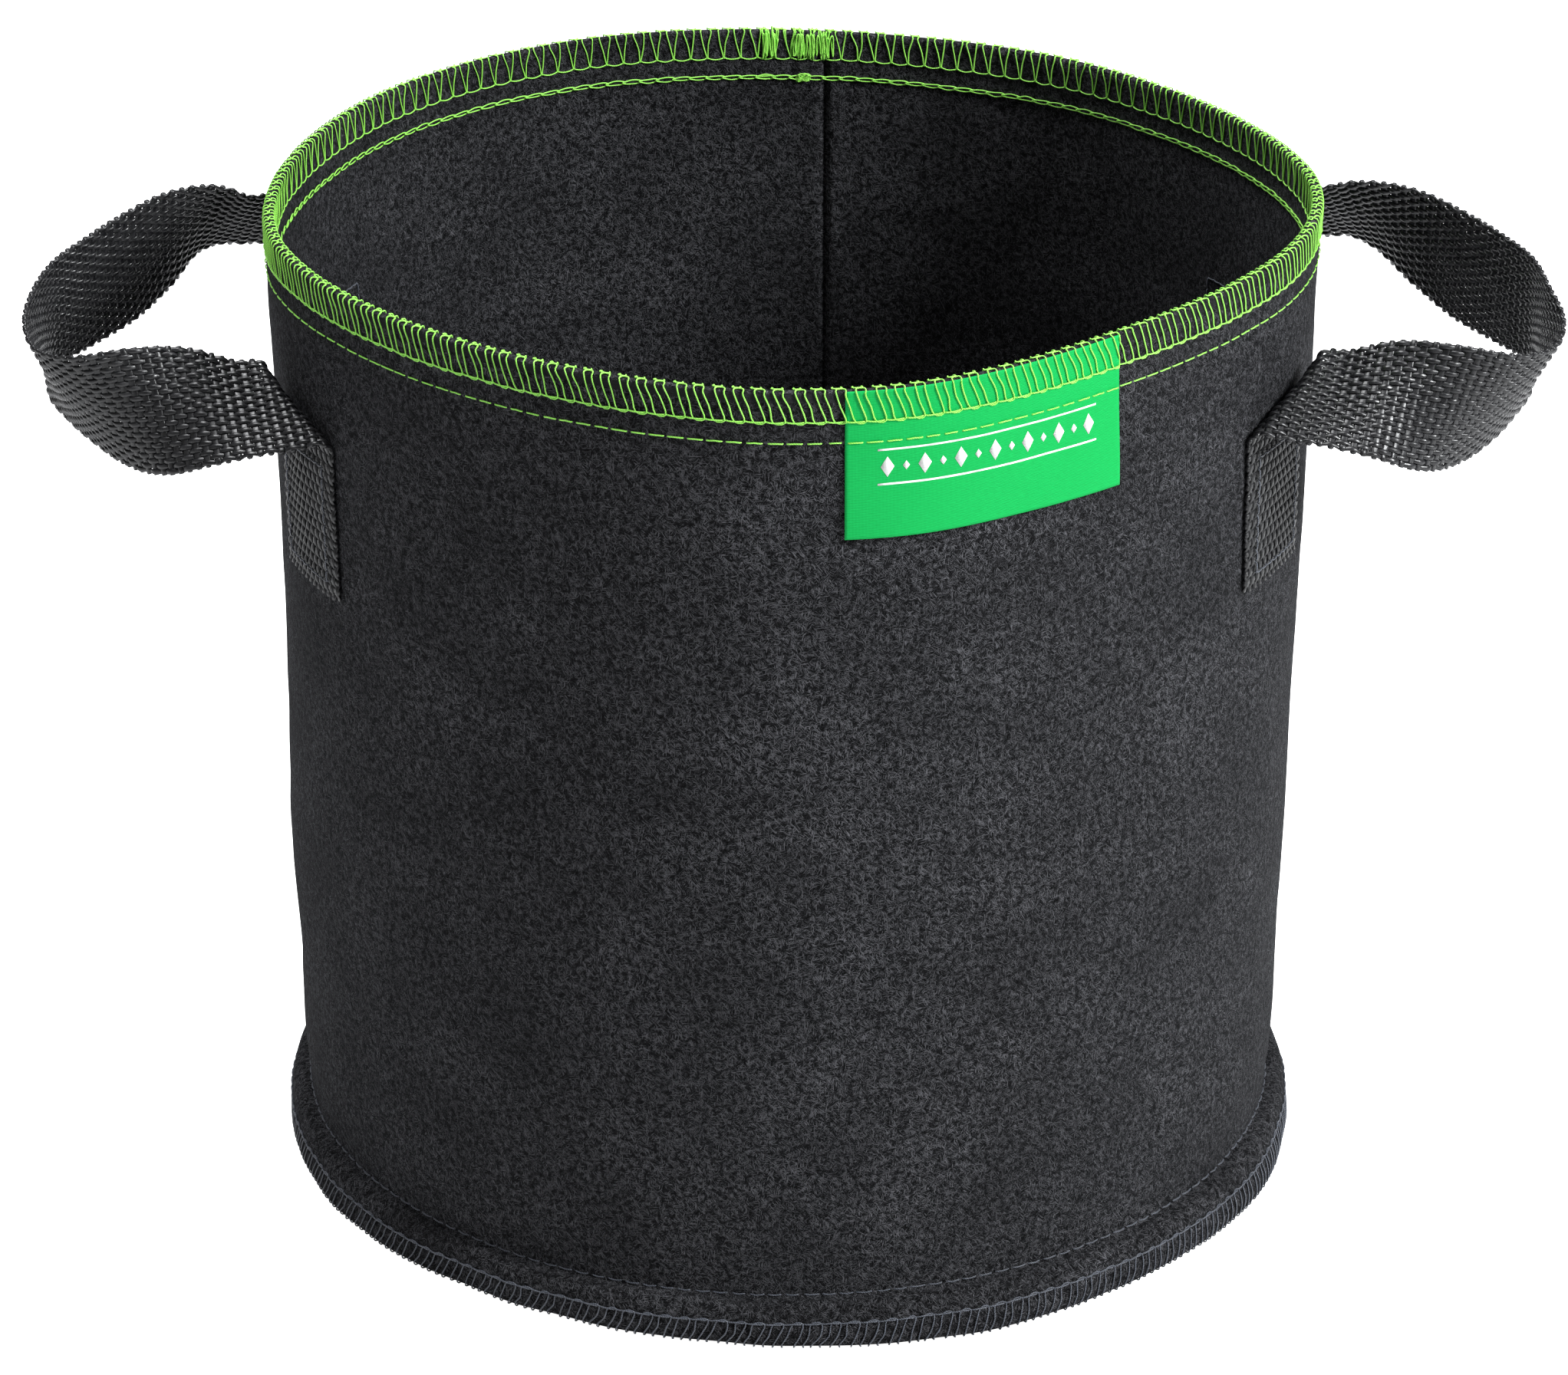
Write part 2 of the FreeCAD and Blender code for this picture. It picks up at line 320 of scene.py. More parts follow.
def rim_height(theta):
    """How far the rim's edge rises or falls, in mm."""
    return waves(theta, RIM_WAVES) - RIM_SAG


def lifted(theta, z):
    """Heights moved with the rim's waves, which fade out down the wall."""
    return z + rim_height(theta) * share_up(z) ** 3


def wall_point(theta, z, off):
    """A point off beyond the wall's outside, with z measured on the unwaved wall."""
    theta = np.asarray(theta, float)
    z = np.asarray(z, float)
    return polar(theta, wall_radius(theta, z) + off, lifted(theta, z))


def arc_corner(before, corner, after, radius, steps):
    """Points of a tangent arc at a corner of a line in the radius-height plane."""
    before, corner, after = [np.array(p, float) for p in (before, corner, after)]
    u = unit(corner - before)
    v = unit(after - corner)
    turn = math.acos(np.clip(u.dot(v), -1, 1))
    reach = radius * math.tan(turn / 2)
    centre = corner + unit(v - u) * radius / math.cos(turn / 2)
    start = corner - u * reach - centre
    end = corner + v * reach - centre
    return [centre + (start * math.sin((1 - t) * turn) + end * math.sin(t * turn)) / math.sin(turn)
            for t in np.linspace(0, 1, steps)]


def profile_line(corners, radius, spacing):
    """A line through rounded corners as points no further apart than spacing."""
    points = [np.array(corners[0], float)]
    for before, corner, after in zip(corners, corners[1:], corners[2:]):
        points += arc_corner(before, corner, after, radius, 6)
    points.append(np.array(corners[-1], float))
    out = [points[0]]
    for a, b in zip(points, points[1:]):
        steps = max(1, int(np.ceil(np.linalg.norm(b - a) / spacing)))
        out += [a + (b - a) * k / steps for k in range(1, steps + 1)]
    return np.array(out)


def thick_profile(line, thickness):
    """Closed outline, with softly rounded ends, of a strip centred on a line."""
    tangent, left = sides_of(line)
    half = thickness / 2
    angle = np.radians((80, 60, 35, 12, -12, -35, -60, -80))[:, None]
    last, first = [point + normal * half * np.sin(angle) + direction * 0.5 * (np.cos(angle) - 1)
                   for point, direction, normal in ((line[-1], tangent[-1], left[-1]),
                                                    (line[0], -tangent[0], -left[0]))]
    outer = (line + left * half)[1:-1]
    inner = (line - left * half)[1:-1][::-1]
    return np.concatenate([outer, last, inner, first])


def turned_block(theta, outline, move):
    """Points, faces and cloth places of an outline swept round; move(theta, r, z) gives the points."""
    points = move(theta[:, None], outline[None, :, 0], outline[None, :, 1])
    n = len(outline)
    faces = grid_faces(len(theta), n, close_rows=True, close_columns=True)[:, ::-1]
    angle = theta[faces // n]
    angle = np.where(angle < angle.max(1, keepdims=True) - 180, angle + 360, angle)
    along = length_along(outline)[faces % n]
    cloth = np.stack([arc_to(angle) * MM, along * MM, np.zeros(along.shape)], -1)
    return points, [faces], [cloth]


# ---- felt pieces
def felt_angles():
    """Degrees round the bag, closer together beside the back seam."""
    near = np.array([-2.4, -1.7, -1.1, -0.7, -0.4, -0.2, 0, 0.2, 0.4, 0.7, 1.1, 1.7, 2.4])
    far = np.arange(3.4, 356.7, 1.0)
    return BACK_SEAM + np.concatenate([near, far])


def wall_felt(material):
    """The felt wall, its lower edge turned out and down over the base's, and the back seam's allowance."""
    line = profile_line([
        (RIM_RADIUS - FELT / 2, RIM_EDGE),
        (SEAM_RADIUS - FELT / 2, SKIRT_TOP),
        (SKIRT_RADIUS - FELT / 2, SKIRT_TOP - 0.4),
        (SKIRT_RADIUS - FELT / 2, SKIRT_EDGE),
    ], 2.0, 2.6)
    outline = thick_profile(line, FELT)

    def move(theta, r, z):
        from_seam = degrees_from(theta, BACK_SEAM)
        inside = smooth((SEAM_RADIUS - FELT * 0.6 + (RIM_RADIUS - SEAM_RADIUS) * share_up(z) - r) / 0.6)
        up = smooth((z - ABOVE_SEAM) / 3)
        beside = np.exp(-((np.abs(from_seam) - 1.2) / 0.6) ** 2)
        groove = 1.5 * np.exp(-(from_seam / 0.33) ** 2) - 0.35 * beside
        above = np.maximum(z, SKIRT_TOP)
        skirt = smooth((r - SEAM_RADIUS) / 2) * skirt_wave(theta, z)
        return polar(theta, r + out_of_round(theta, above) + groove * inside * up + skirt, lifted(theta, z))

    shell = Shell()
    shell.add(*turned_block(felt_angles(), outline, move))
    for layer in (0, 1):
        shell.add(*allowance_block(layer))
    return welded(shell, "wall_felt", material)


def fin_thickness(z):
    """Share of the folded allowance's thickness left where the rim's stitching presses it flat."""
    return 1 - 0.55 * smooth((z - RIM_EDGE + CHAIN_LINE + 4) / 8)


def on_fin(theta):
    """1 on the back seam's folded felt and 0 beside it."""
    return within(theta, BACK_SEAM, BACK_ALLOWANCE, 0.3)


def allowance_block(layer):
    """One of the two raw felt edges that lie folded together outside the back seam."""
    arc = np.array([0.0, 0.3, 1.5, 4.0, 7.0, 10.0, 12.2, 12.5])
    thickness = FELT + 0.02
    low = -0.1 + layer * (FELT + 0.05)
    outer = np.stack([arc, low + thickness - 0.35 * (arc < 0.1) - 0.35 * (arc > 12.4)], 1)
    inner = np.stack([arc[::-1], np.full(len(arc), low) + 0.3 * (arc[::-1] > 12.4)], 1)
    outline = np.concatenate([outer, inner])
    z = np.linspace(ABOVE_SEAM + 1.0, RIM_EDGE - 1.6, 70)
    theta = BACK_SEAM + degrees_along(outline[:, 0])
    pressed = fin_thickness(z[:, None]) * outline[:, 1][None, :]
    points = wall_point(theta[None, :], z[:, None], pressed)
    n = len(outline)
    faces = grid_faces(len(z), n, close_columns=True)
    place = np.stack([outline[faces % n, 0] * MM, z[faces // n] * MM, np.full(faces.shape, 0.1)], -1)
    caps = [np.arange(n)[None, :], np.arange(len(z) * n - n, len(z) * n)[None, ::-1]]
    flat = [np.stack([outline[c % n, 0] * MM, outline[c % n, 1] * MM, np.zeros(c.shape)], -1) for c in caps]
    return points, [faces] + caps, [place] + flat


def base_felt(material):
    """The felt disc, raised at its edge to the seam and turned down inside the wall's lower edge."""
    skirt_middle = SKIRT_RADIUS - FELT - FELT_GAP - FELT / 2
    fold = SKIRT_TOP - FELT - FELT_GAP
    line = profile_line([
        (0.0, FELT / 2),
        (skirt_middle - POCKET, FELT / 2),
        (skirt_middle - POCKET, fold),
        (skirt_middle, fold),
        (skirt_middle, SKIRT_EDGE + FELT / 2),
    ], 2.0, 3.0)
    left = sides_of(line)[1]
    upper = line + left * FELT / 2
    lower = (line - left * FELT / 2)[::-1]
    outline = np.concatenate([upper, lower])
    outline[:, 0] = np.maximum(outline[:, 0], 0)
    theta = np.arange(0, 360, 2.0)
    n = len(outline)

    def height(t, r, z):
        flatness = smooth(1 - np.abs(r - 60) / 60)
        x = r * np.cos(np.radians(t)) + NOISE_SHIFT
        y = r * np.sin(np.radians(t)) + NOISE_SHIFT
        ripple = 0.5 * lattice_noise(x, y, 23, 5)
        return z + ripple * flatness * smooth((z - 0.5) / 1.5)

    r = outline[:, 0][None, :]
    z = outline[:, 1][None, :]
    edge = smooth((r - 110) / 8) * (skirt_radius(theta[:, None], z) - SKIRT_RADIUS)
    points = polar(theta[:, None], r + edge, height(theta[:, None], r, z))
    faces = grid_faces(len(theta), n, close_rows=True)
    t = np.radians(theta[faces // n])
    rr = outline[faces % n, 0]
    cloth = np.stack([rr * np.cos(t) * MM, rr * np.sin(t) * MM, outline[faces % n, 1] * MM], -1)
    shell = Shell()
    shell.add(points, [faces], [cloth])
    return welded(shell, "base_felt", material)


def welded(shell, name, material):
    """A shell's piece, with points that lie together joined and every face turned outward."""
    piece = shell.piece(name, material)
    work = bmesh.new()
    work.from_mesh(piece.data)
    bmesh.ops.remove_doubles(work, verts=work.verts, dist=0.00001)
    bmesh.ops.recalc_face_normals(work, faces=work.faces)
    work.to_mesh(piece.data)
    work.free()
    return piece


# ---- label
def on_label(theta):
    """1 on the label's width and 0 beside it."""
    return within(theta, LABEL_START, LABEL_WIDTH, 0.15)


def label_place(across, down, off):
    """A point on the label, off mm beyond its front; its free lower edge stands out a little."""
    theta = LABEL_START + degrees_along(across)
    free = smooth((down - CHAIN_LINE) / (LABEL_HEIGHT - CHAIN_LINE))
    lift = 0.5 * free * (1 + 0.6 * np.sin(across / 9.0))
    return wall_point(theta, RIM_EDGE - down, CLOTH_GAP + LABEL_THICKNESS + lift + off)


def woven_label(material):
    steps = np.linspace(0, LABEL_WIDTH, 91), np.linspace(0, LABEL_HEIGHT, 49)
    across, down = np.meshgrid(*steps, indexing="ij")
    front = label_place(across, down, 0.0)
    back = label_place(across, down, -LABEL_THICKNESS)
    rows, columns = across.shape
    shell = Shell()
    place = np.stack([across, down, 0 * down], -1).reshape(-1, 3) * MM
    quads = grid_faces(rows, columns)
    for points, faces in ((front, quads[:, ::-1]), (back, quads)):
        shell.add(points, [faces], [place[faces]])
    count = rows * columns
    grid = np.arange(count).reshape(rows, columns)
    rim = np.concatenate([grid[:, 0], grid[-1, 1:], grid[-2::-1, -1], grid[0, -2:0:-1]])
    nxt = np.roll(rim, -1)
    sides = np.stack([rim, nxt, nxt + count, rim + count], 1)
    shell.faces.append(sides)
    shell.cloth.append(place[sides % count].reshape(-1, 3))
    return welded(shell, "green_label", material)


def label_pattern(material):
    """A plain woven border: a row of lozenges between two fine lines, in white weft."""
    shell = Shell()
    middle = 18.8           # down from the rim's edge
    count = 13
    pitch = 4.3
    first = LABEL_WIDTH / 2 - pitch * (count - 1) / 2
    for k in range(count):
        tall, wide = (1.1, 0.8) if k % 2 else (2.5, 1.55)
        corners = np.array([(-wide, 0), (0, -tall), (wide, 0), (0, tall)]) + (first + k * pitch, middle)
        add_plate(shell, corners)
    left = first - 2.2
    for line in (middle - 4.2, middle + 4.2):
        add_strip(shell, left, LABEL_WIDTH - left, line - 0.22, line + 0.22)
    return welded(shell, "label_border_pattern", material)


def add_strip(shell, left, right, low, high):
    """A long thin plate on the label, in steps that follow its curve."""
    edges = np.linspace(left, right, 25)
    for a, b in zip(edges, edges[1:]):
        add_plate(shell, np.array([(a, low), (b, low), (b, high), (a, high)]))


def add_plate(shell, corners):
    """A thin raised plate with the given corners, measured across and down the label."""
    n = len(corners)
    top, foot = [label_place(corners[:, 0], corners[:, 1], off) for off in (0.09, -0.1)]
    k = np.arange(n)
    face = k[None, :]
    walls = np.stack([k, (k + 1) % n, (k + 1) % n + n, k + n], 1)
    flat = np.concatenate([corners, np.zeros((n, 1))], 1) * MM
    shell.add(np.concatenate([top, foot]), [face[:, ::-1], walls, face + n],
              [flat[face[:, ::-1]], flat[walls % n], flat[face]])


# ---- sewing
def flowing(points, steps=4):
    """A smooth open line through control points."""
    points = np.asarray(points, float)
    chain = np.concatenate([2 * points[:1] - points[1:2], points, 2 * points[-1:] - points[-2:-1]])
    p0, p1, p2, p3 = chain[:-3], chain[1:-2], chain[2:-1], chain[3:]
    t = (np.arange(steps) / steps)[None, :, None]
    p0, p1, p2, p3 = [p[:, None] for p in (p0, p1, p2, p3)]
    line = 0.5 * (2 * p1 + (p2 - p0) * t + (2 * p0 - 5 * p1 + 4 * p2 - p3) * t ** 2
                  + (3 * p1 - p0 - 3 * p2 + p3) * t ** 3)
    return np.concatenate([line.reshape(-1, points.shape[1]), points[-1:]])


def sewn(tubes, place, points, steps=4):
    """Adds a thread along control points given as along the seam, in from the edge, and off the cloth."""
    line = flowing(points, steps)
    tubes.thread(place(line[:, 0], line[:, 1], line[:, 2]), THREAD_RADIUS)


def rim_place(along, down, off):
    theta = degrees_along(along)
    z = RIM_EDGE - down
    over_label = (LABEL_THICKNESS + CLOTH_GAP) * on_label(theta)
    over_fin = (2 * FELT + FELT_GAP) * fin_thickness(z) * on_fin(theta) * smooth(down / 1.6)
    outside = smooth((off + 0.5) / 0.5) * (over_label + over_fin)
    return wall_point(theta, z, off + outside)


def skirt_place(along, up, off):
    theta = degrees_along(along)
    z = SKIRT_EDGE + up
    return polar(theta, skirt_radius(theta, z) + off, z)


def groove_place(along, up, off):
    """Places for the base seam's chain stitch, on the wall just above the turned-out edge."""
    theta = degrees_along(along)
    z = SKIRT_EDGE + up
    return polar(theta, wall_radius(theta, z) + off, z)


def pocket_place(along, up, off):
    """Places inside the channel between the base's rise and its turned-down edge."""
    theta = degrees_along(along)
    return polar(theta, SKIRT_RADIUS - FELT * 2.5 - FELT_GAP - POCKET + FELT / 2 + 0.3 - off, SKIRT_EDGE + up)


def allowance_place(along, inward, off):
    """Places on the back seam's folded felt; along is height, inward is from its raw edge."""
    theta = BACK_SEAM + degrees_along(BACK_ALLOWANCE - inward)
    return wall_point(theta, along, 2 * FELT + off)


def stitch(start, pitch, table):
    """One stitch's control points, from a table with places along it as shares of the pitch."""
    return [(start + share * pitch, inward, off) for share, inward, off in table]


def overlock_outside(place, starts, pitch, depth, thickness):
    """The upper looper: slanting legs up the outer face, paired by short bridges over the edge."""
    tubes = Tubes()
    points = []
    for u in starts:
        lean, bend, foot = rng.normal(0, 0.05, 3)
        rise = rng.normal(0, 0.12)
        over = -thickness * 0.42
        left = lean - 0.47
        right = lean - 0.03
        points += stitch(u, pitch, (
            (0.02, depth + 0.1, 0.18), (bend - 0.20, depth * 0.52, 0.22),
            (left, 0.7 + rise, 0.2), (left - 0.03, -0.22, -0.25), (left + 0.07, -0.28, over),
            (right - 0.07, -0.28, over), (right + 0.03, -0.22, -0.25), (right, 0.7 - rise, 0.2),
            (bend + 0.26, depth * 0.52, 0.22), (foot + 0.47, depth + 0.1, 0.18)))
    sewn(tubes, place, points, 3)
    return tubes


def overlock_inside(place, starts, pitch, depth, thickness):
    """The lower looper: a V of legs from each needle hole up the inner face to the edge."""
    tubes = Tubes()
    points = []
    face = -thickness - 0.2
    over = -thickness * 0.62
    for u in starts:
        lean, bend = rng.normal(0, 0.04, 2)
        left = lean + 0.38
        right = lean - 0.22
        points += stitch(u, pitch, (
            (right + 0.03, -0.24, over), (right, -0.2, face + 0.3), (right, 0.6, face),
            (bend - 0.11, depth * 0.5, face), (-0.02, depth - 0.15, face),
            (0.03, depth - 0.15, face), (bend + 0.19, depth * 0.5, face),
            (left, 0.6, face), (left, -0.2, face + 0.3), (left - 0.03, -0.24, over)))
    sewn(tubes, place, points, 3)
    return tubes


def overlock_needle(place, starts, pitch, depth, thickness):
    """The needle thread: nearly one line outside, and shallow scallops from hole to hole inside."""
    tubes = Tubes()
    outside = []
    inside = []
    face = -thickness - 0.28
    for u in starts:
        dip = rng.normal(0, 0.06)
        outside += stitch(u, pitch, (
            (0, depth, -0.12), (0.16, depth + 0.05, 0.26),
            (0.5, depth + 0.12 + dip, 0.34), (0.84, depth + 0.05, 0.26)))
        inside += stitch(u, pitch, (
            (0, depth - 0.1, face + 0.35), (0.14, depth + 0.2, face),
            (0.5, depth + 0.5 + dip, face), (0.86, depth + 0.2, face)))
    sewn(tubes, place, outside, 3)
    sewn(tubes, place, inside, 3)
    return tubes


def chain_needle(place, starts, pitch, line):
    """Dashes on the outer face, each sunk into the felt at both ends."""
    tubes = Tubes()
    for u in starts:
        a, b, rise = rng.normal(0, 0.03, 3)
        sewn(tubes, place, stitch(u, pitch, (
            (0.09 + a, line, -0.4), (0.14 + a, line, 0.08), (0.32, line - 0.06, 0.22),
            (0.49, line - 0.12 + rise, 0.26),
            (0.66, line - 0.06, 0.22), (0.83 + b, line, 0.08), (0.88 + b, line, -0.4))), 3)
    return tubes


def chain_looper(place, starts, pitch, line, face):
    """A rope of overlapping almond loops, each passing through the one before."""
    tubes = Tubes()
    for u in starts:
        wide = 0.5 + rng.normal(0, 0.06)
        tilt = rng.normal(0, 0.08)
        sewn(tubes, place, stitch(u, pitch, (
            (-0.12, line, face - 0.05), (0.15, line - wide * 0.8, face - 0.2),
            (0.55, line - wide + tilt, face - 0.35), (0.95, line - wide * 0.55, face - 0.5),
            (1.12, line, face - 0.55), (0.95, line + wide * 0.55, face - 0.45),
            (0.55, line + wide + tilt, face - 0.3), (0.15, line + wide * 0.8, face - 0.15),
            (-0.10, line + 0.08, face))), 3)
    return tubes


def safety_stitch(seam, looks, place, starts, pitch, depth, thickness, chain, chain_places):
    """The five threads of one safety-stitched seam, each its own piece."""
    outer_chain, inner_chain, inner_line, inner_face = chain_places
    threads = {
        "overlock_needle": overlock_needle(place, starts, pitch, depth, thickness),
        "upper_looper": overlock_outside(place, starts, pitch, depth, thickness),
        "lower_looper": overlock_inside(place, starts, pitch, depth, thickness),
        "chain_needle": chain_needle(outer_chain, starts, pitch, chain),
        "chain_looper": chain_looper(inner_chain, starts, pitch, inner_line, inner_face),
    }
    material, slot = looks
    for kind, tubes in threads.items():
        piece = tubes.piece(seam + "_" + kind + "_stitches", material)
        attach(piece, "root")
        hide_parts(seam + "_" + kind + "_thread")


def rim_seam(looks):
    starts = arc_to(RIM_STITCH_START) + PITCH * np.arange(STITCHES + 2)
    safety_stitch("rim", looks, rim_place, starts, PITCH, NEEDLE_LINE, FELT, CHAIN_LINE,
                  (rim_place, rim_place, CHAIN_LINE, -FELT - 0.1))


def base_seam(looks):
    starts = PITCH * np.arange(STITCHES) + arc_to(BACK_SEAM + 8)
    safety_stitch("base", looks, skirt_place, starts, PITCH, BASE_NEEDLE_LINE, 2 * FELT + FELT_GAP,
                  ABOVE_SEAM - 0.9, (groove_place, pocket_place, 5.0, 0.0))


def back_seam(looks):
    pitch = 4.4
    high = RIM_EDGE - CHAIN_LINE - 1.5
    starts = np.arange(ABOVE_SEAM + 2, high - pitch, pitch)
    inner = (lambda along, inward, off: allowance_place(along, inward, off - 2 * FELT))
    safety_stitch("back_seam", looks, allowance_place, starts, pitch, NEEDLE_LINE, 1.9 * FELT, 11.9,
                  (allowance_place, inner, 13.3, 0.2))


def thread_tangles(looks):
    """Where the rim's stitching starts and ends: bunched threads over the edge, and a knot in the chain."""
    tubes = Tubes()
    draw = np.random.default_rng(21)
    count = 12
    for low, high, runs in RIM_TANGLES:
        for k in range(runs):
            theta = draw.uniform(low, high) + draw.normal(0, 0.45, count).cumsum() * 0.45
            theta = np.clip(theta, low, high)
            down = 3.4 + 3.6 * np.sin(np.arange(count) * 1.9 + draw.uniform(0, 6))
            down = down + draw.normal(0, 0.4, count)
            off = -FELT - 0.25 - draw.uniform(0, 0.55, count)
            over = down < 0.4
            off = np.where(over, draw.uniform(-FELT, 0.1, count), off)
            down = np.where(over, draw.uniform(-0.5, -0.2, count), down)
            sewn(tubes, rim_place, np.stack([arc_to(theta), down, off], 1), 5)
    for k in range(3):
        turn = np.arange(14) * 1.3 + draw.uniform(0, 6)
        along = arc_to(RIM_KNOT) + 1.7 * np.cos(turn) + draw.normal(0, 0.3, 14)
        down = CHAIN_LINE + 0.9 * np.sin(turn * 1.2) + draw.normal(0, 0.2, 14)
        sewn(tubes, rim_place, np.stack([along, down, -FELT - 0.35 - draw.uniform(0, 0.7, 14)], 1), 5)
    piece = tubes.piece("rim_thread_tangles", looks[0])
    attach(piece, "root")


# ---- handles
# The webbing is sewn flat, folds diagonally outward above each sewn end, and runs free between the folds.
# Each fold is its slant, its turn, the webbing's length round it, how far it stands off the wall,
# and the distance along the webbing from its end to where the whole width is past the fold.
FRONT_FOLD = (math.radians(20.0), math.radians(110.0), 5.0, 5.0, 54.0)
REAR_FOLD = (math.radians(38.0), math.radians(115.0), 6.0, 3.0, 72.0)
FOLD_HEIGHT = 37.4          # along the webbing from its end to a fold's low corner
# Front to rear along each free loop: the webbing's centre, then the direction across it, from its
# lower edge to its upper edge.  Both lists are for the left side; the right one is mirrored.
LEFT_LOOP = [
    ((-137.4, -52.5, 209.8), (-0.17, 0.71, 0.69)),
    ((-149.4, -51.2, 208.3), (-0.21, 0.30, 0.93)),
    ((-160.5, -46.1, 206.5), (-0.32, -0.09, 0.94)),
    ((-169.7, -36.4, 206.0), (-0.39, -0.25, 0.89)),
    ((-175.6, -23.9, 207.3), (-0.29, -0.25, 0.92)),
    ((-178.3, -10.8, 209.5), (-0.07, -0.22, 0.97)),
    ((-176.6, 2.5, 211.8), (0.06, -0.20, 0.98)),
    ((-169.3, 14.4, 213.1), (0.02, -0.17, 0.99)),
    ((-160.2, 25.0, 215.6), (-0.03, -0.20, 0.98)),
    ((-150.8, 34.7, 219.1), (0.07, -0.34, 0.94)),
    ((-141.0, 42.8, 221.3), (0.28, -0.59, 0.76)),
]
RIGHT_LOOP = [
    ((-137.4, -54.5, 210.3), (-0.20, 0.71, 0.69)),
    ((-150.4, -53.7, 207.8), (-0.24, 0.30, 0.93)),
    ((-162.0, -48.6, 205.5), (-0.35, -0.09, 0.94)),
    ((-171.7, -38.9, 205.0), (-0.42, -0.25, 0.89)),
    ((-177.6, -25.4, 206.3), (-0.32, -0.25, 0.92)),
    ((-179.8, -11.8, 208.3), (-0.07, -0.22, 0.97)),
    ((-179.6, 2.5, 210.3), (0.06, -0.20, 0.98)),
    ((-173.8, 14.9, 211.1), (0.02, -0.17, 0.99)),
    ((-165.2, 26.5, 213.1), (-0.03, -0.20, 0.98)),
    ((-154.8, 36.2, 217.1), (0.07, -0.34, 0.94)),
    ((-142.5, 43.8, 220.3), (0.28, -0.59, 0.76)),
]
WARPS = 24                  # yarns side by side across the webbing
PICK = 2.4                  # from one weft yarn to the next
WARP_SIZE = (0.68, 0.34)    # half width and half thickness
WARP_SWING = 0.44
WEFT_SIZE = (1.02, 0.27)
WEFT_SWING = 0.10
TACK_INSET = 4.0
TACK_STITCH = 2.9


def drawn_through(centres, across):
    """A dense line through unevenly spaced centres, the directions across it, and its length so far."""
    rows = np.concatenate([centres, across], 1)
    knots = length_along(centres)
    slope = np.gradient(rows, knots, axis=0)
    fine = np.linspace(0, knots[-1], 1200)
    i = np.clip(np.searchsorted(knots, fine, side="right") - 1, 0, len(knots) - 2)
    span = (knots[i + 1] - knots[i])[:, None]
    t = (fine - knots[i])[:, None] / span
    line = ((2 * t ** 3 - 3 * t ** 2 + 1) * rows[i] + (t ** 3 - 2 * t ** 2 + t) * span * slope[i]
            + (3 * t ** 2 - 2 * t ** 3) * rows[i + 1] + (t ** 3 - t ** 2) * span * slope[i + 1])
    return line[:, :3], unit(line[:, 3:]), length_along(line[:, :3])


